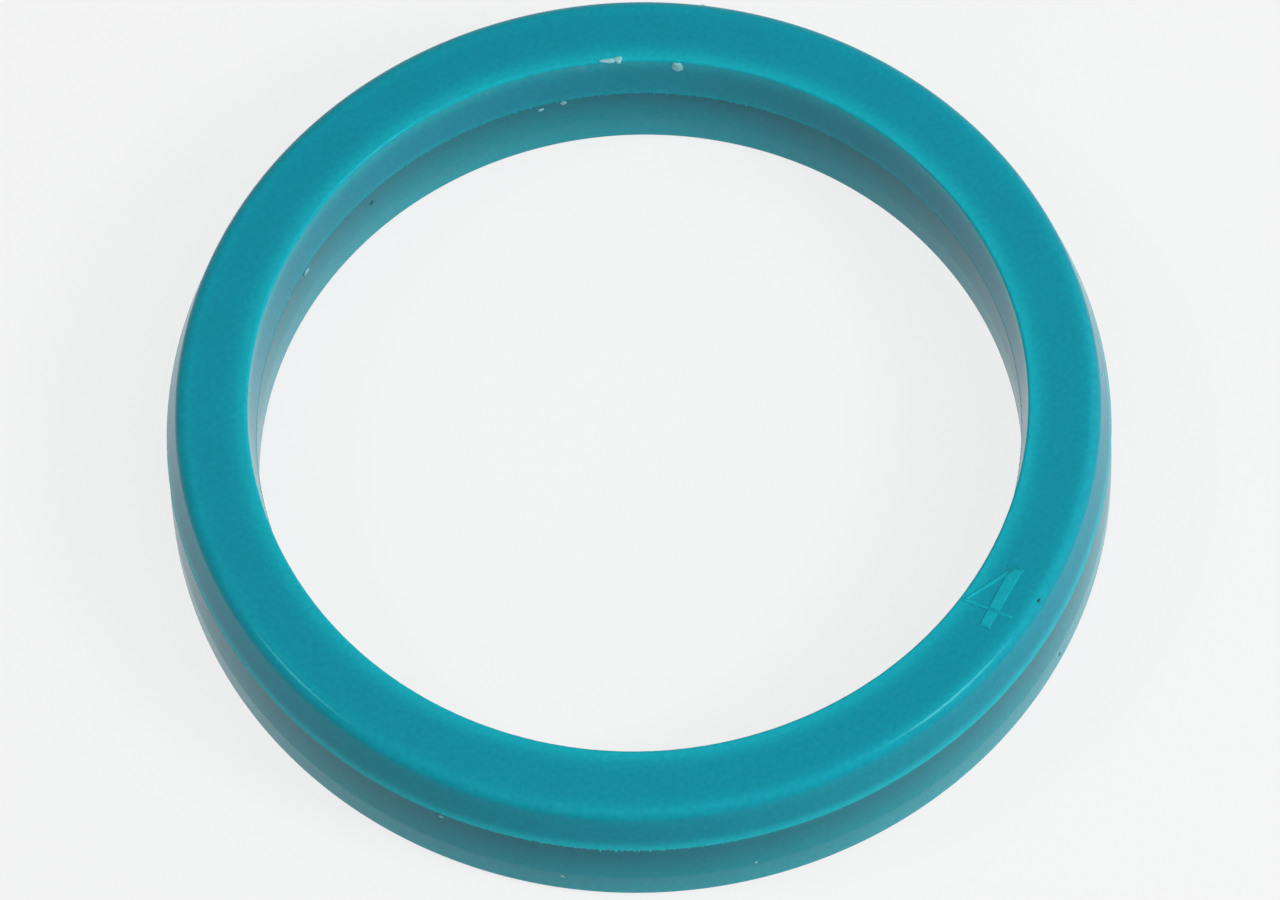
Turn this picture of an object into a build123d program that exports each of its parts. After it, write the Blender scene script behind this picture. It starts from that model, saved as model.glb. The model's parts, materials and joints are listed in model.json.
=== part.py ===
from build123d import *
import os
from math import acos, atan2, cos, hypot, sin

# U-cup seal: one moulded polyurethane ring with a solid heel and two sealing lips.
# It rests on its lip tips at z = 0, heel face up, with the ring's axis on +Z.
# The section is drawn with X as the radius and Y as the height, and revolved once.
# All sizes are in millimetres.

# Housing that the seal is made for
ROD_DIAMETER = 50.0
GLAND_DIAMETER = 60.0
SEAL_HEIGHT = 10.0

# Radial squeeze of each lip once the seal is fitted
ROD_SQUEEZE = 0.24
GLAND_SQUEEZE = 0.46

# Heel: flat back face, a broken bore corner, a full outer round, walls that flare downwards
HEEL_BORE_DIAMETER = 50.08
HEEL_OUTER_DIAMETER = 59.10
HEEL_BORE_CHAMFER = 0.20
HEEL_OUTER_ROUND = 0.90

# Parting edges, where the parts of the mould met, left sharp when the flash was trimmed
ROD_PARTING_HEIGHT = 6.40
ROD_PARTING_DIAMETER = 49.28
GLAND_PARTING_HEIGHT = 6.70
GLAND_PARTING_DIAMETER = 60.76

# Undercut below each parting edge, where the flexing lip begins
UNDERCUT_DEPTH = 0.24
UNDERCUT_DROP = 0.35

# Lips: a flank that leans out to a cylindrical sealing land, then a trimmed tip
LAND_TOP = 2.70
LAND_BOTTOM = 0.50
TIP_TRIM = 0.60

# Groove between the lips: straight walls tangent to a round root
GROOVE_DEPTH = 5.50
GROOVE_MOUTH = 3.20
GROOVE_ROOT_RADIUS = 0.90

# Lip radii of the free seal, and the radius where the groove runs
rod_lip_radius = ROD_DIAMETER / 2 - ROD_SQUEEZE
gland_lip_radius = GLAND_DIAMETER / 2 + GLAND_SQUEEZE
groove_radius = (rod_lip_radius + gland_lip_radius) / 2


def flank(side, heel_radius, parting, lip_radius):
    """Corners of one side of the section, from the heel face down to the lip tip.

    side is +1 on the gland side and -1 on the rod side, the way that side faces.
    parting is the radius and height of that side's parting edge.
    """
    parting_radius, parting_height = parting
    return [
        (heel_radius, SEAL_HEIGHT),
        (parting_radius, parting_height),
        (parting_radius - side * UNDERCUT_DEPTH, parting_height - UNDERCUT_DROP),
        (lip_radius, LAND_TOP),
        (lip_radius, LAND_BOTTOM),
        (lip_radius - side * TIP_TRIM, 0),
        (groove_radius + side * GROOVE_MOUTH / 2, 0),
    ]


def groove_root():
    """Where the groove's walls touch its root circle, and the top of that circle.

    Each wall starts at a mouth corner. Its lean from the vertical is the angle at
    which that line is one root radius away from the root circle's centre.
    """
    half_mouth = GROOVE_MOUTH / 2
    centre_height = GROOVE_DEPTH - GROOVE_ROOT_RADIUS
    to_centre = hypot(half_mouth, centre_height)
    lean = acos(GROOVE_ROOT_RADIUS / to_centre) - atan2(centre_height, half_mouth)
    reach = GROOVE_ROOT_RADIUS * cos(lean)
    touch_height = centre_height + GROOVE_ROOT_RADIUS * sin(lean)
    return (
        (groove_radius - reach, touch_height),
        (groove_radius, GROOVE_DEPTH),
        (groove_radius + reach, touch_height),
    )


def heel_corner(face, radius):
    """The section's corner on the heel face at the given radius."""
    return face.vertices().sort_by_distance((radius, SEAL_HEIGHT))[0]


def seal_section():
    """The ring's closed section: two flanks, the heel face above, the groove below."""
    heel_bore = HEEL_BORE_DIAMETER / 2
    heel_outer = HEEL_OUTER_DIAMETER / 2
    rod_parting = (ROD_PARTING_DIAMETER / 2, ROD_PARTING_HEIGHT)
    gland_parting = (GLAND_PARTING_DIAMETER / 2, GLAND_PARTING_HEIGHT)
    rod_side = flank(-1, heel_bore, rod_parting, rod_lip_radius)
    gland_side = flank(1, heel_outer, gland_parting, gland_lip_radius)
    rod_touch, root_top, gland_touch = groove_root()
    walls = Polyline(rod_touch, *reversed(rod_side), *gland_side, gland_touch)
    face = make_face(walls + ThreePointArc(gland_touch, root_top, rod_touch))
    face = fillet(heel_corner(face, heel_outer), HEEL_OUTER_ROUND)
    return chamfer(heel_corner(face, heel_bore), HEEL_BORE_CHAMFER)


def u_cup():
    """The whole ring, with its section revolved about the axis."""
    return revolve(Plane.XZ * seal_section(), Axis.Z, 360)


os.makedirs("parts", exist_ok=True)
ring = u_cup()
ring.label = "u_cup"
export_step(ring, "parts/u_cup.step")
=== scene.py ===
import json
from math import cos, degrees, pi, radians, sin, tan
import bpy
import numpy as np
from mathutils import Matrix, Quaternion, Vector


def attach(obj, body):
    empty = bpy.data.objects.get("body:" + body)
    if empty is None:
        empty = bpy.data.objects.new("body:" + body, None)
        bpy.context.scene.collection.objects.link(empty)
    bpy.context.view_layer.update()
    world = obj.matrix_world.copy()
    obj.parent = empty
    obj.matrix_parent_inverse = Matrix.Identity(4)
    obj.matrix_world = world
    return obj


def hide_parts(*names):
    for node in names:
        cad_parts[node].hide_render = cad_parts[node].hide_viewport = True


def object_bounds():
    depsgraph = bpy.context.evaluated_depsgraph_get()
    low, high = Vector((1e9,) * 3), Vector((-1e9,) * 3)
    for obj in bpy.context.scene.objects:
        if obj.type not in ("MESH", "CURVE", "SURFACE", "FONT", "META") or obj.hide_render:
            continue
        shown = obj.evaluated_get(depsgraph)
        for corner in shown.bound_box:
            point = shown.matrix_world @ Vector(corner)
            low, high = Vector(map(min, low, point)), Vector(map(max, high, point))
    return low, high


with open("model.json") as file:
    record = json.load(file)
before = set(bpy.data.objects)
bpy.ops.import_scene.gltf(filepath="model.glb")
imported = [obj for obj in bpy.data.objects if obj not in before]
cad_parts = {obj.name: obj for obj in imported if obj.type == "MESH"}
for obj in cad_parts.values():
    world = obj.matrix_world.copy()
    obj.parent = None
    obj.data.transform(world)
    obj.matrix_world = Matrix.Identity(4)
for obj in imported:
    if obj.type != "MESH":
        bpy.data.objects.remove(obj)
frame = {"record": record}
cad_low, cad_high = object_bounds()

# ---- The ring -------------------------------------------------------------------------
# One ring of dyed polyurethane, cast in a steel mould and left as it comes out of it.
# The heel is solid and faces up, and two lips with a groove between them face down.
# Light gets into the thin lips and the edges, so they look paler than the thick heel: the
# material paints this as a glow in their colour, and paints shade on the lips below the parting steps.
MM = 0.001
mounts = {mount["name"]: mount for mount in frame["record"]["mounts"]}
HEIGHT = cad_high.z / MM
GLAND_LIP = mounts["gland_wall"]["dims"]["r_mm"]
ROD_LIP = mounts["rod_bore"]["dims"]["r_mm"]
GROOVE_MIDDLE = (GLAND_LIP + ROD_LIP) / 2
LAND_TOP = 2.70
LAND_BOTTOM = 0.50
TIP_TRIM = 0.60
GROOVE_DEPTH = 5.50
GROOVE_HALF_MOUTH = 1.60
GROOVE_ROOT_HALF = 0.775
GROOVE_ROOT_ROUND = 0.90
GLAND_PARTING = (30.38, 6.70)
ROD_PARTING = (24.64, 6.40)
UNDERCUT = (0.24, 0.35)
HEEL_OUTER = 29.55
HEEL_BORE = 25.04
RING_STEPS = 720


def ring_section():
    """Corners of the ring's section as rows of radius, height and rounding, in millimetres.
    They run down the gland side, round both lips and the groove, and up the rod side."""
    return [
        (HEEL_OUTER, HEIGHT, 0.90),
        (*GLAND_PARTING, 0.05),
        (GLAND_PARTING[0] - UNDERCUT[0], GLAND_PARTING[1] - UNDERCUT[1], 0.08),
        (GLAND_LIP, LAND_TOP, 1.50),
        (GLAND_LIP, LAND_BOTTOM, 0.05),
        (GLAND_LIP - TIP_TRIM, 0, 0.05),
        (GROOVE_MIDDLE + GROOVE_HALF_MOUTH, 0, 0.06),
        (GROOVE_MIDDLE + GROOVE_ROOT_HALF, GROOVE_DEPTH, GROOVE_ROOT_ROUND),
        (GROOVE_MIDDLE - GROOVE_ROOT_HALF, GROOVE_DEPTH, GROOVE_ROOT_ROUND),
        (GROOVE_MIDDLE - GROOVE_HALF_MOUTH, 0, 0.06),
        (ROD_LIP + TIP_TRIM, 0, 0.05),
        (ROD_LIP, LAND_BOTTOM, 0.05),
        (ROD_LIP, LAND_TOP, 1.50),
        (ROD_PARTING[0] + UNDERCUT[0], ROD_PARTING[1] - UNDERCUT[1], 0.08),
        (*ROD_PARTING, 0.05),
        (HEEL_BORE, HEIGHT, 0.20),
    ]


def rounded_outline(corners, guard=0.04, longest=1.1):
    """A closed outline with its corners rounded and its straights divided.

    Each corner becomes an arc that touches both of its sides: the arc starts and ends at
    rounding times the tangent of half the turn from the corner. Each straight has a row of
    points guard away from its ends, which keeps the shading of the flats flat.
    """
    table = np.array(corners)
    points, rounds = table[:, :2], table[:, 2]
    arcs = []
    befores, afters = np.roll(points, 1, 0), np.roll(points, -1, 0)
    for here, before, after, rounding in zip(points, befores, afters, rounds):
        back = (before - here) / np.linalg.norm(before - here)
        ahead = (after - here) / np.linalg.norm(after - here)
        turn = pi - np.arccos(np.clip(back @ ahead, -1, 1))
        inner = back + ahead
        centre = here + inner / np.linalg.norm(inner) * rounding / cos(turn / 2)
        steps = max(2, int(round(degrees(turn) / (8 if rounding > 0.3 else 30))))
        start = here + back * rounding * tan(turn / 2) - centre
        side = np.sign(back[0] * ahead[1] - back[1] * ahead[0])
        swing = -side * np.linspace(0, turn, steps + 1)
        arc = np.stack([start[0] * np.cos(swing) - start[1] * np.sin(swing),
                        start[0] * np.sin(swing) + start[1] * np.cos(swing)], 1)
        arcs.append(arc + centre)
    outline = []
    for arc, following in zip(arcs, arcs[1:] + arcs[:1]):
        gap = following[0] - arc[-1]
        length = np.linalg.norm(gap)
        parts = max(1, int(np.ceil((length - 2 * guard) / longest)))
        along = np.linspace(guard, length - guard, parts + 1)[:, None] / length
        outline += [arc, arc[-1] + gap * along]
    return np.concatenate(outline)


def swept_ring(name, radius, height, angles):
    """A closed ring mesh. radius and height are arrays with one row for each angle and one
    column for each point of the section: x is radius times the angle's cosine, y is radius
    times its sine, z is height. Both ways round, the last row or column meets the first."""
    around, along = radius.shape
    place = np.stack([radius * np.cos(angles)[:, None], radius * np.sin(angles)[:, None], height], 2)
    i, j = np.meshgrid(np.arange(around), np.arange(along), indexing="ij")
    next_i, next_j = (i + 1) % around, (j + 1) % along
    faces = np.stack([i * along + j, i * along + next_j, next_i * along + next_j, next_i * along + j], 2)
    mesh = bpy.data.meshes.new(name)
    mesh.from_pydata((place.reshape(-1, 3) * MM).tolist(), [], faces.reshape(-1, 4).tolist())
    mesh.shade_smooth()
    piece = bpy.data.objects.new(name, mesh)
    bpy.context.scene.collection.objects.link(piece)
    return piece


def ragged(angles, seed, tears, sharpness):
    """Uneven values from 0 to 1 round a ring: a sum of waves with seeded phases and whole
    numbers of turns, raised to a power, so that a few places stand out as torn tufts."""
    rng = np.random.default_rng(seed)
    turns = rng.integers(tears // 6, tears, 24)
    phase = rng.uniform(0, 2 * pi, 24)
    waves = np.sin(angles[:, None] * turns + phase).sum(1) / np.sqrt(12)
    return np.clip(0.5 + waves / 4, 0, 1) ** sharpness


def patch(angles, centre, width):
    """A smooth hill of height 1 round a ring angle in degrees: it is a Gaussian of the
    shortest turn to that angle."""
    turn = (angles - radians(centre) + pi) % (2 * pi) - pi
    return np.exp(-(turn / radians(width)) ** 2)


def socket_group(name, inputs, outputs):
    """An empty shader group with float sockets, and a Vector input that comes first."""
    group = bpy.data.node_groups.new(name, "ShaderNodeTree")
    group.interface.new_socket("Vector", in_out="INPUT", socket_type="NodeSocketVector")
    for label in inputs:
        group.interface.new_socket(label, in_out="INPUT", socket_type="NodeSocketFloat")
    for label in outputs:
        group.interface.new_socket(label, in_out="OUTPUT", socket_type="NodeSocketFloat")
    return group


def calculate(tree, operation, first, second=None, third=None):
    """One Math node: its operands are sockets or plain numbers."""
    node = tree.nodes.new("ShaderNodeMath")
    node.operation = operation
    for slot, value in zip(node.inputs, (first, second, third)):
        if isinstance(value, bpy.types.NodeSocket):
            tree.links.new(value, slot)
        elif value is not None:
            slot.default_value = value
    return node.outputs[0]


def noise(tree, vector, scale, detail, roughness=0.5):
    """The value of a Noise Texture on the given coordinates."""
    node = tree.nodes.new("ShaderNodeTexNoise")
    tree.links.new(vector, node.inputs["Vector"])
    node.inputs["Scale"].default_value = scale
    node.inputs["Detail"].default_value = detail
    node.inputs["Roughness"].default_value = roughness
    return node.outputs["Fac"]


def build_painted_edge_glow():
    """How strongly an edge's painted glow shows: 1 on the circle of the given radius and height
    about the ring's axis, falling off as a Gaussian of the distance from it over the reach."""
    group = socket_group("edge_glow", ("Radius", "Height", "Reach"), ("Glow",))
    into = group.nodes.new("NodeGroupInput")
    out = group.nodes.new("NodeGroupOutput")
    split = group.nodes.new("ShaderNodeSeparateXYZ")
    group.links.new(into.outputs["Vector"], split.inputs[0])
    square = calculate(group, "MULTIPLY", split.outputs["X"], split.outputs["X"])
    square = calculate(group, "MULTIPLY_ADD", split.outputs["Y"], split.outputs["Y"], square)
    radius = calculate(group, "SQRT", square)
    across = calculate(group, "SUBTRACT", radius, into.outputs["Radius"])
    above = calculate(group, "SUBTRACT", split.outputs["Z"], into.outputs["Height"])
    far = calculate(group, "MULTIPLY", across, across)
    far = calculate(group, "MULTIPLY_ADD", above, above, far)
    reach = calculate(group, "MULTIPLY", into.outputs["Reach"], into.outputs["Reach"])
    share = calculate(group, "DIVIDE", far, reach)
    glow = calculate(group, "EXPONENT", calculate(group, "MULTIPLY", share, -1.0))
    group.links.new(glow, out.inputs["Glow"])
    return group


def build_moulded_skin():
    """The skin that a blasted steel mould leaves: broad clouds in the dye, a fine speckle,
    and the height of the tiny pits, each from noise of its own size."""
    group = socket_group("moulded_skin", ("Cloud Scale", "Speckle Scale"), ("Cloud", "Speckle", "Pits"))
    into = group.nodes.new("NodeGroupInput")
    out = group.nodes.new("NodeGroupOutput")
    for label, size, detail in (("Cloud", "Cloud Scale", 3), ("Speckle", "Speckle Scale", 2)):
        texture = group.nodes.new("ShaderNodeTexNoise")
        group.links.new(into.outputs["Vector"], texture.inputs["Vector"])
        group.links.new(into.outputs[size], texture.inputs["Scale"])
        texture.inputs["Detail"].default_value = detail
        group.links.new(texture.outputs["Fac"], out.inputs[label])
    fine = calculate(group, "MULTIPLY", into.outputs["Speckle Scale"], 1.7)
    pits = group.nodes.new("ShaderNodeTexNoise")
    group.links.new(into.outputs["Vector"], pits.inputs["Vector"])
    group.links.new(fine, pits.inputs["Scale"])
    pits.inputs["Detail"].default_value = 1
    group.links.new(pits.outputs["Fac"], out.inputs["Pits"])
    return group


edge_glow = build_painted_edge_glow()
moulded_skin = build_moulded_skin()


def place_group(tree, group, vector, **values):
    """Places a shader group in a material, with its own numbers, and returns the node."""
    node = tree.nodes.new("ShaderNodeGroup")
    node.node_tree = group
    tree.links.new(vector, node.inputs["Vector"])
    for label, value in values.items():
        node.inputs[label.replace("_", " ")].default_value = value
    return node


def blend(tree, share, first, second):
    """A colour between two, by share. The colours are sockets or RGB triples."""
    node = tree.nodes.new("ShaderNodeMix")
    node.data_type = "RGBA"
    for slot, value in zip((node.inputs[0], node.inputs[6], node.inputs[7]), (share, first, second)):
        if isinstance(value, bpy.types.NodeSocket):
            tree.links.new(value, slot)
        else:
            slot.default_value = value if slot is node.inputs[0] else (*value, 1)
    return node.outputs[2]


# The first teal is the dye. The second is painted shade under the parting steps, the third painted glow on
# the lips, the fourth painted glow at the edges.
HEEL_TEAL = (0.0046, 0.272, 0.366)
PAINTED_SHADE_TEAL = (0.0030, 0.190, 0.250)
PAINTED_GLOW_LIP_TEAL = (0.0062, 0.372, 0.452)
PAINTED_GLOW_TEAL = (0.0080, 0.490, 0.575)
CLOUD_SCALE = 260
SPECKLE_SCALE = 3000
# Each edge with a painted glow: its radius and height, how far the glow reaches, and its
# strength. On the gland parting edge the painted glow is a painted highlight.
PAINTED_GLOW_EDGES = [
    (HEEL_BORE, HEIGHT, 0.85, 0.62),
    (HEEL_OUTER, HEIGHT, 0.75, 0.30),
    (*GLAND_PARTING, 0.48, 0.90),
    (*ROD_PARTING, 0.30, 0.25),
]


def polyurethane(name, painted_glow_share=0.0):
    """Satin, slightly clear teal polyurethane with a speckled skin. Light and shade are painted
    into its colour: a glow at the edges and lips, a highlight along the gland parting edge,
    and shade on the lips just below the parting steps. The last argument is a painted glow
    that the whole piece has, because it is thin."""
    material = bpy.data.materials.new(name)
    material.use_nodes = True
    tree = material.node_tree
    shader = tree.nodes["Principled BSDF"]
    spot = tree.nodes.new("ShaderNodeTexCoord").outputs["Object"]
    split = tree.nodes.new("ShaderNodeSeparateXYZ")
    tree.links.new(spot, split.inputs[0])

    # Painted shade and glow on the lips: below the rod parting height the colour turns to a darker teal,
    # painted shade under the parting steps, then lightens towards the lip tips as painted glow.
    below = tree.nodes.new("ShaderNodeMapRange")
    below.interpolation_type = "SMOOTHSTEP"
    below.inputs["From Min"].default_value = (ROD_PARTING[1] + 0.15) * MM
    below.inputs["From Max"].default_value = (ROD_PARTING[1] - 0.45) * MM
    tree.links.new(split.outputs["Z"], below.inputs["Value"])
    lip_shade_to_glow = tree.nodes.new("ShaderNodeMapRange")
    lip_shade_to_glow.inputs["From Min"].default_value = 5.4 * MM
    lip_shade_to_glow.inputs["From Max"].default_value = 0.4 * MM
    tree.links.new(split.outputs["Z"], lip_shade_to_glow.inputs["Value"])
    lips = blend(tree, lip_shade_to_glow.outputs[0], PAINTED_SHADE_TEAL, PAINTED_GLOW_LIP_TEAL)
    body = blend(tree, below.outputs[0], HEEL_TEAL, lips)

    # Painted glow round the listed edges, mixed into the colour.
    glow = painted_glow_share
    for radius, height, reach, strength in PAINTED_GLOW_EDGES:
        sizes = {"Radius": radius * MM, "Height": height * MM, "Reach": reach * MM}
        edge = place_group(tree, edge_glow, spot, **sizes)
        glow = calculate(tree, "MULTIPLY_ADD", edge.outputs["Glow"], strength, glow)
    lit = blend(tree, glow, body, PAINTED_GLOW_TEAL)

    skin = place_group(tree, moulded_skin, spot, Cloud_Scale=CLOUD_SCALE, Speckle_Scale=SPECKLE_SCALE)
    shade = calculate(tree, "MULTIPLY_ADD", skin.outputs["Cloud"], 0.10, 0.78)
    shade = calculate(tree, "MULTIPLY_ADD", skin.outputs["Speckle"], 0.34, shade)
    tint = tree.nodes.new("ShaderNodeVectorMath")
    tint.operation = "SCALE"
    tree.links.new(lit, tint.inputs[0])
    tree.links.new(shade, tint.inputs["Scale"])
    tree.links.new(tint.outputs[0], shader.inputs["Base Color"])

    rough = calculate(tree, "MULTIPLY_ADD", skin.outputs["Cloud"], 0.10, 0.12)
    rough = calculate(tree, "MULTIPLY_ADD", skin.outputs["Speckle"], 0.08, rough)
    tree.links.new(rough, shader.inputs["Roughness"])
    bump = tree.nodes.new("ShaderNodeBump")
    bump.inputs["Strength"].default_value = 0.12
    bump.inputs["Distance"].default_value = 0.02 * MM
    tree.links.new(skin.outputs["Pits"], bump.inputs["Height"])
    tree.links.new(bump.outputs[0], shader.inputs["Normal"])
    shader.inputs["Specular IOR Level"].default_value = 0.15
    shader.inputs["Specular Tint"].default_value = (0.30, 1.0, 1.0, 1)
    shader.inputs["Subsurface Weight"].default_value = 0.35
    shader.inputs["Subsurface Radius"].default_value = (0.2, 1.0, 0.9)
    shader.inputs["Subsurface Scale"].default_value = 0.6 * MM
    return material


teal = polyurethane("teal_polyurethane")
section = rounded_outline(ring_section())
ring_angles = np.arange(RING_STEPS) / RING_STEPS * 2 * pi
ring_radius = np.repeat(section[None, :, 0], RING_STEPS, 0)
ring_height = np.repeat(section[None, :, 1], RING_STEPS, 0)

# A burr that the trimming left on the bore corner of the heel leans in over the bore.
corner = np.exp(-((section[:, 0] - HEEL_BORE) ** 2 + (section[:, 1] - HEIGHT + 0.1) ** 2) / 0.14 ** 2)
burr = 0.10 * ragged(ring_angles, 4, 330, 2) * (patch(ring_angles, 93, 9) + 0.6 * patch(ring_angles, 112, 14))
ring_radius -= (burr + 0.012 * ragged(ring_angles, 5, 300, 1))[:, None] * corner[None, :]
# A nick in the outer round of the heel, with its bottom below the round.
NICK_ANGLE = -32.3
dent = np.exp(-((section[:, 0] - 29.45) ** 2 + (section[:, 1] - 9.78) ** 2) / 0.20 ** 2)
dent = patch(ring_angles, NICK_ANGLE, 0.55)[:, None] * dent[None, :]
ring_radius -= 0.16 * dent
ring_height -= 0.12 * dent

ring = swept_ring("moulded_ring", ring_radius, ring_height, ring_angles)
ring.data.materials.append(teal)
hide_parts("u_cup")
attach(ring, "root")

# ---- The flash on the parting edges ---------------------------------------------------
# Thin polyurethane that crept between the parts of the mould, on both walls of the ring.
# It was trimmed off, and a ragged fin a few hundredths of a millimetre wide is left.
FLASH_STEPS = 3600
flash_angles = np.arange(FLASH_STEPS) / FLASH_STEPS * 2 * pi


def flash_fin(name, edge, side, width, droop):
    """A fin along a parting edge. Its section has a root inside the ring and a tip that
    stands width out of the edge and droop below it: each point is the edge plus its own
    share of both, and side is +1 on the gland wall and -1 on the rod wall."""
    out = np.array([-0.12, 0.0, 0.7, 1.0, 0.7, -0.12])
    up = np.array([0.05, 0.015, -0.45, -1.0, -1.05, -0.10])
    inside = np.array([1, 0, 0, 0, 0, 1])
    reach = np.where(inside, out[None, :], width[:, None] * out[None, :])
    drop = np.where(inside, up[None, :], droop[:, None] * up[None, :])
    column = slice(None) if side > 0 else slice(None, None, -1)
    fin = swept_ring(name, (edge[0] + side * reach)[:, column], (edge[1] + drop)[:, column], flash_angles)
    fin.data.materials.append(teal)
    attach(fin, "root")
    return fin


# The width and droop in millimetres: a plain fin, and what torn tufts add to it.
tufts = ragged(flash_angles, 11, 900, 2.5)
front = patch(flash_angles, -94, 13)
flash_fin("gland_parting_flash", GLAND_PARTING, 1,
          0.018 + 0.045 * tufts * (0.25 + front), 0.03 + 0.30 * tufts * (0.12 + front))
tufts = ragged(flash_angles, 12, 900, 2.5)
back = patch(flash_angles, 100, 40)
flash_fin("rod_parting_flash", ROD_PARTING, -1,
          0.015 + 0.07 * tufts * (0.3 + back), 0.03 + 0.15 * tufts * (0.2 + back))

# ---- The cavity numeral ---------------------------------------------------------------
# A plain raised 4 on the heel face, cut into the mould to tell its cavities apart.
# It is moulded with the ring: a thick stem with two serifs, a thin crossbar and a thin
# slanted stroke.
NUMERAL_RADIUS = 27.2
NUMERAL_ANGLE = radians(-34.6)
NUMERAL_TURN = radians(-30.7)
NUMERAL_RELIEF = 0.07
numeral_strokes = [
    ((0.03, -2.40), (-0.03, 2.35), 0.66, 0.84),
    ((-2.00, -1.22), (1.28, -0.96), 0.20, 0.20),
    ((-1.92, -1.18), (-0.20, 2.15), 0.18, 0.30),
    ((-0.42, -2.38), (0.44, -2.30), 0.18, 0.18),
    ((-0.62, 2.22), (0.46, 2.30), 0.20, 0.20),
]


def stroke_corners(start, end, start_width, end_width):
    """The eight corners of a stroke: a rectangle sunk in the face under a smaller one that
    stands proud of it. Each corner is an end plus or minus half its width to the side."""
    start, end = np.array(start), np.array(end)
    ahead = (end - start) / np.linalg.norm(end - start)
    left = np.array([-ahead[1], ahead[0]])
    rows = []
    for level, slope in ((-0.06, 0.06), (NUMERAL_RELIEF, -0.03)):
        for point, way, width in ((start, -1, start_width), (end, 1, end_width)):
            for hand in (way, -way):
                flat = point + ahead * way * slope - left * hand * (width / 2 + slope)
                rows.append((*flat, level))
    return np.array(rows)


def stroke_mesh(name, strokes):
    """All strokes as closed six-sided blocks in one mesh, turned and put on the heel face:
    the numeral's own x and y are turned by its angle and moved out to its radius."""
    block = np.array([(3, 2, 1, 0), (4, 5, 6, 7), (0, 1, 5, 4), (1, 2, 6, 5), (2, 3, 7, 6), (3, 0, 4, 7)])
    places = np.concatenate([stroke_corners(*stroke) for stroke in strokes])
    faces = np.concatenate([block + 8 * k for k in range(len(strokes))])
    turn = np.array([[cos(NUMERAL_TURN), -sin(NUMERAL_TURN)], [sin(NUMERAL_TURN), cos(NUMERAL_TURN)]])
    middle = NUMERAL_RADIUS * np.array([cos(NUMERAL_ANGLE), sin(NUMERAL_ANGLE)])
    flat = places[:, :2] @ turn.T + middle
    corners = np.column_stack([flat, places[:, 2] + HEIGHT]) * MM
    mesh = bpy.data.meshes.new(name)
    mesh.from_pydata(corners.tolist(), [], faces.tolist())
    piece = bpy.data.objects.new(name, mesh)
    bpy.context.scene.collection.objects.link(piece)
    return piece


numeral = stroke_mesh("cavity_numeral", numeral_strokes)
soften = numeral.modifiers.new("soft_edges", "BEVEL")
soften.width = 0.05 * MM
soften.segments = 2
# This copy of the material has a painted glow all over, so the numeral reads lighter than the heel face.
numeral_painted_glow_teal = polyurethane("raised_polyurethane", painted_glow_share=0.42)
numeral.data.materials.append(numeral_painted_glow_teal)
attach(numeral, "root")

# ---- Crumbs and specks ----------------------------------------------------------------
# Pale crumbs of trimmed flash and dust that cling to the ring, a few dark specks, and one
# dark lump in the nick of the heel round as painted shade.
# Each is a small lump pressed a little way into the wall that it sits on.
CRUMB_TURNS, CRUMB_LEVELS = 14, 8


def crumb_mesh(name, crumbs, seed):
    """Closed lumps in one mesh. A lump is a ball of latitude and longitude rows, stretched
    along the ring and upwards, whose radius is 1 plus seeded waves of both angles."""
    rng = np.random.default_rng(seed)
    longitude = np.arange(CRUMB_TURNS) / CRUMB_TURNS * 2 * pi
    latitude = np.linspace(-pi / 2, pi / 2, CRUMB_LEVELS + 1)[1:-1]
    lat, lon = np.meshgrid(latitude, longitude, indexing="ij")
    count = lat.size
    i, j = np.meshgrid(np.arange(CRUMB_LEVELS - 2), np.arange(CRUMB_TURNS), indexing="ij")
    right = (j + 1) % CRUMB_TURNS
    quads = np.stack([i * CRUMB_TURNS + j, i * CRUMB_TURNS + right,
                      (i + 1) * CRUMB_TURNS + right, (i + 1) * CRUMB_TURNS + j], 2).reshape(-1, 4)
    turn = np.arange(CRUMB_TURNS)
    last = (CRUMB_LEVELS - 2) * CRUMB_TURNS
    south = np.stack([np.full_like(turn, count), (turn + 1) % CRUMB_TURNS, turn], 1)
    north = np.stack([np.full_like(turn, count + 1), last + turn, last + (turn + 1) % CRUMB_TURNS], 1)
    places, faces = [], []
    for angle, radius_mm, height_mm, wide, tall, thick in crumbs:
        waves = 1 + 0.16 * np.sin(3 * lon + rng.uniform(0, 6)) * np.cos(lat)
        waves += 0.12 * np.sin(4 * lat + rng.uniform(0, 6))
        flat = waves * np.cos(lat)
        ball = np.stack([flat * np.cos(lon), flat * np.sin(lon), waves * np.sin(lat)], 2)
        ball = np.concatenate([ball.reshape(-1, 3), [[0, 0, -0.95], [0, 0, 0.95]]])
        ball = ball * np.array([thick, wide, tall]) / 2
        a = radians(angle)
        out, along = np.array([cos(a), sin(a), 0]), np.array([-sin(a), cos(a), 0])
        spot = out * radius_mm + np.array([0, 0, height_mm])
        base = len(places) * (count + 2)
        places.append(spot + ball[:, :1] * out + ball[:, 1:2] * along + ball[:, 2:] * np.array([0, 0, 1]))
        faces += (quads + base).tolist() + (south + base).tolist() + (north + base).tolist()
    mesh = bpy.data.meshes.new(name)
    mesh.from_pydata((np.concatenate(places) * MM).tolist(), [], faces)
    mesh.shade_smooth()
    piece = bpy.data.objects.new(name, mesh)
    bpy.context.scene.collection.objects.link(piece)
    return piece


def crumb_material(name, pale, deep):
    """A dull crumb, clouded between two colours."""
    material = bpy.data.materials.new(name)
    material.use_nodes = True
    tree = material.node_tree
    shader = tree.nodes["Principled BSDF"]
    spot = tree.nodes.new("ShaderNodeTexCoord").outputs["Object"]
    cloud = noise(tree, spot, 6000, 2)
    tree.links.new(blend(tree, cloud, deep, pale), shader.inputs["Base Color"])
    tree.links.new(calculate(tree, "MULTIPLY_ADD", cloud, 0.2, 0.55), shader.inputs["Roughness"])
    return material


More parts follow.
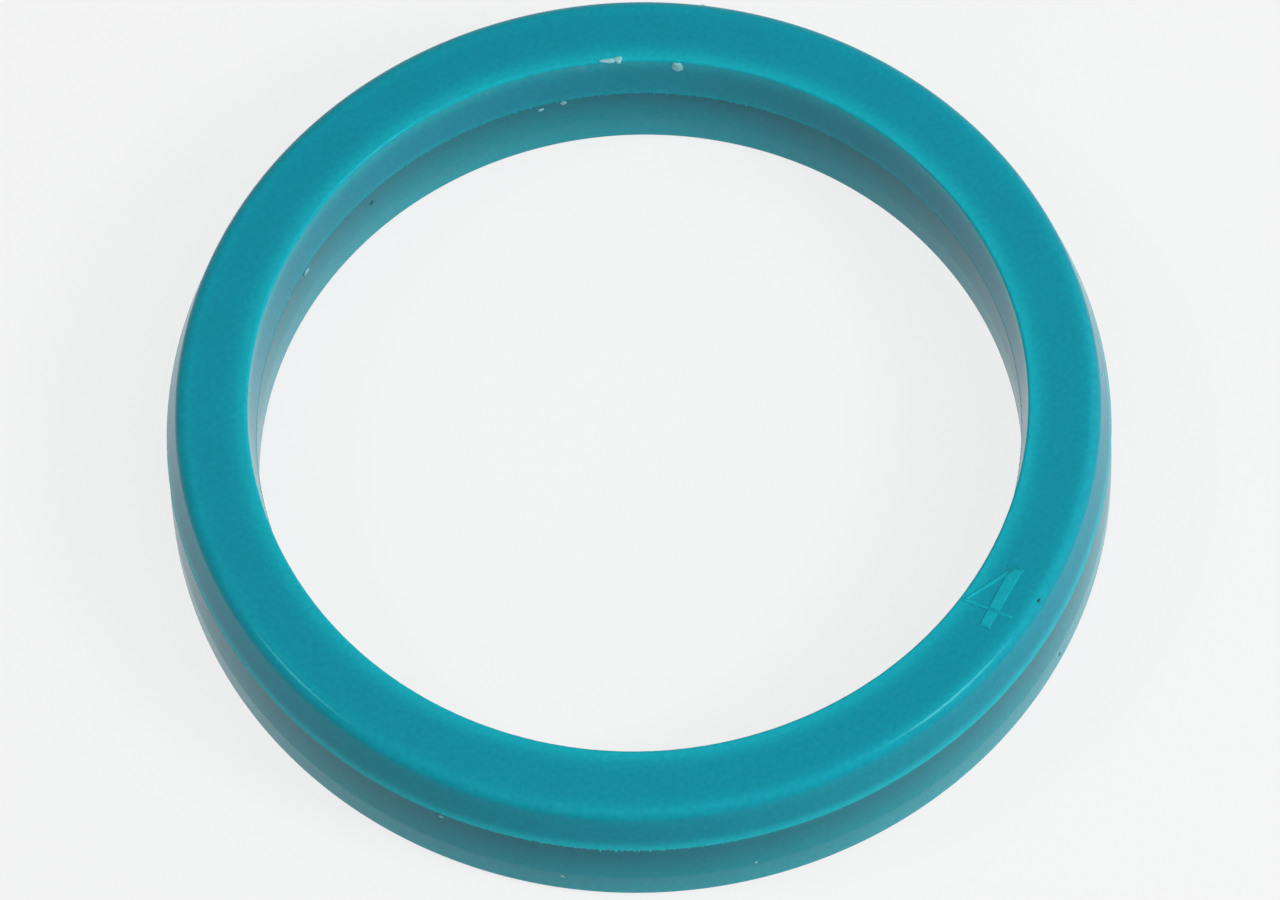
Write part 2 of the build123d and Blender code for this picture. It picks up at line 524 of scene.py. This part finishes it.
# Each crumb: ring angle in degrees, radius and height of its middle, then its width along
# the ring, its height and its thickness, in millimetres.
pale_crumbs = [
    (81.6, 24.94, 9.35, 0.78, 1.00, 0.24),
    (90.4, 25.10, 9.96, 0.50, 0.24, 0.50),
    (91.8, 25.08, 9.95, 1.30, 0.16, 0.34),
    (99.0, 24.86, 5.60, 0.44, 0.44, 0.16),
    (102.6, 24.84, 5.35, 0.46, 0.26, 0.14),
    (148.2, 24.84, 5.25, 0.60, 0.46, 0.16),
    (153.6, 24.86, 5.70, 0.46, 0.44, 0.16),
    (79.2, 29.55, 9.58, 0.30, 0.30, 0.20),
    (2.0, 29.96, 8.30, 0.34, 0.34, 0.14),
    (-101.8, 30.44, 2.25, 0.24, 0.34, 0.12),
    (-78.5, 30.42, 2.90, 0.26, 0.30, 0.10),
    (-117.0, 30.18, 5.75, 0.34, 0.24, 0.16),
]
dark_specks = [
    (132.3, 24.83, 4.55, 0.26, 0.50, 0.10),
    (-30.6, 30.44, 1.60, 0.34, 0.30, 0.10),
    # Not a speck: a dark lump in the nick of the heel round, painted shade.
    (NICK_ANGLE, 29.36, 9.74, 0.26, 0.16, 0.16),
]
for name, lumps, seed, pale, deep in (
    ("pale_crumbs", pale_crumbs, 21, (0.36, 0.66, 0.68), (0.12, 0.46, 0.52)),
    ("dark_specks", dark_specks, 22, (0.006, 0.11, 0.14), (0.002, 0.05, 0.07)),
):
    crumbs = crumb_mesh(name, lumps, seed)
    crumbs.data.materials.append(crumb_material(name, pale, deep))
    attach(crumbs, "root")

# ---- The floor, the lamps and the camera ----------------------------------------------
# A white table. Broad soft lamps stand low on the right, overhead and in front, and two
# small ones on the right and left light the heel's outer round. The lens is long.
floor_mesh = bpy.data.meshes.new("floor")
floor_mesh.from_pydata([(-2, -2, 0), (2, -2, 0), (2, 2, 0), (-2, 2, 0)], [], [(0, 1, 2, 3)])
floor = bpy.data.objects.new("floor", floor_mesh)
bpy.context.scene.collection.objects.link(floor)


def seen_directly(tree):
    """1 for rays from the camera, off a gloss or through a clear piece, else 0."""
    path = tree.nodes.new("ShaderNodeLightPath")
    seen = calculate(tree, "MAXIMUM", path.outputs["Is Camera Ray"], path.outputs["Is Glossy Ray"])
    return calculate(tree, "MAXIMUM", seen, path.outputs["Is Transmission Ray"])


white = bpy.data.materials.new("white_table")
white.use_nodes = True
tree = white.node_tree
matt = tree.nodes["Principled BSDF"]
matt.inputs["Base Color"].default_value = (0.62, 0.62, 0.62, 1)
matt.inputs["Roughness"].default_value = 0.9
paper = tree.nodes.new("ShaderNodeEmission")
paper.inputs["Color"].default_value = (0.985, 0.99, 0.99, 1)
mixed = tree.nodes.new("ShaderNodeMixShader")
tree.links.new(calculate(tree, "MULTIPLY", seen_directly(tree), 0.80), mixed.inputs[0])
tree.links.new(matt.outputs[0], mixed.inputs[1])
tree.links.new(paper.outputs[0], mixed.inputs[2])
tree.links.new(mixed.outputs[0], tree.nodes["Material Output"].inputs["Surface"])
floor.data.materials.append(white)

LAMP_DISTANCE = 0.6


def softbox(name, azimuth, elevation, size, watts):
    """A square lamp that faces the ring from the given direction."""
    lamp = bpy.data.lights.new(name, "AREA")
    lamp.shape = "SQUARE"
    lamp.size = size
    lamp.energy = watts
    holder = bpy.data.objects.new(name, lamp)
    bpy.context.scene.collection.objects.link(holder)
    a, e = radians(azimuth), radians(elevation)
    way = Vector((cos(a) * cos(e), sin(a) * cos(e), sin(e)))
    holder.location = way * LAMP_DISTANCE
    holder.rotation_mode = "QUATERNION"
    holder.rotation_quaternion = way.to_track_quat("Z", "Y")


softbox("right_fill", 0, 20, 0.80, 1.60)
softbox("right_lamp", -26, 43, 0.14, 1.55)
softbox("top_lamp", 10, 80, 0.80, 1.35)
softbox("front_lamp", -90, 45, 0.60, 0.80)
softbox("left_lamp", -176, 53, 0.08, 0.62)

world = bpy.data.worlds.new("studio")
world.use_nodes = True
world.node_tree.nodes["Background"].inputs["Color"].default_value = (1, 1, 1, 1)
backdrop = calculate(world.node_tree, "MULTIPLY_ADD", seen_directly(world.node_tree), 0.85, 0.03)
world.node_tree.links.new(backdrop, world.node_tree.nodes["Background"].inputs["Strength"])
bpy.context.scene.world = world
bpy.context.scene.view_settings.view_transform = "Standard"

CAMERA_ELEVATION = radians(62.34)
CAMERA_ROLL = radians(-2.79)
CAMERA_DISTANCE = 0.6983
LENS_MM = 307.27
aim = Vector((0, -3.665 * MM, cad_high.z))
toward = Vector((0, -cos(CAMERA_ELEVATION), sin(CAMERA_ELEVATION)))
lens = bpy.data.cameras.new("camera")
lens.lens = LENS_MM
camera = bpy.data.objects.new("camera", lens)
camera.location = aim + toward * CAMERA_DISTANCE
camera.rotation_mode = "QUATERNION"
camera.rotation_quaternion = toward.to_track_quat("Z", "Y") @ Quaternion((0, 0, 1), CAMERA_ROLL)
bpy.context.scene.collection.objects.link(camera)
bpy.context.scene.camera = camera
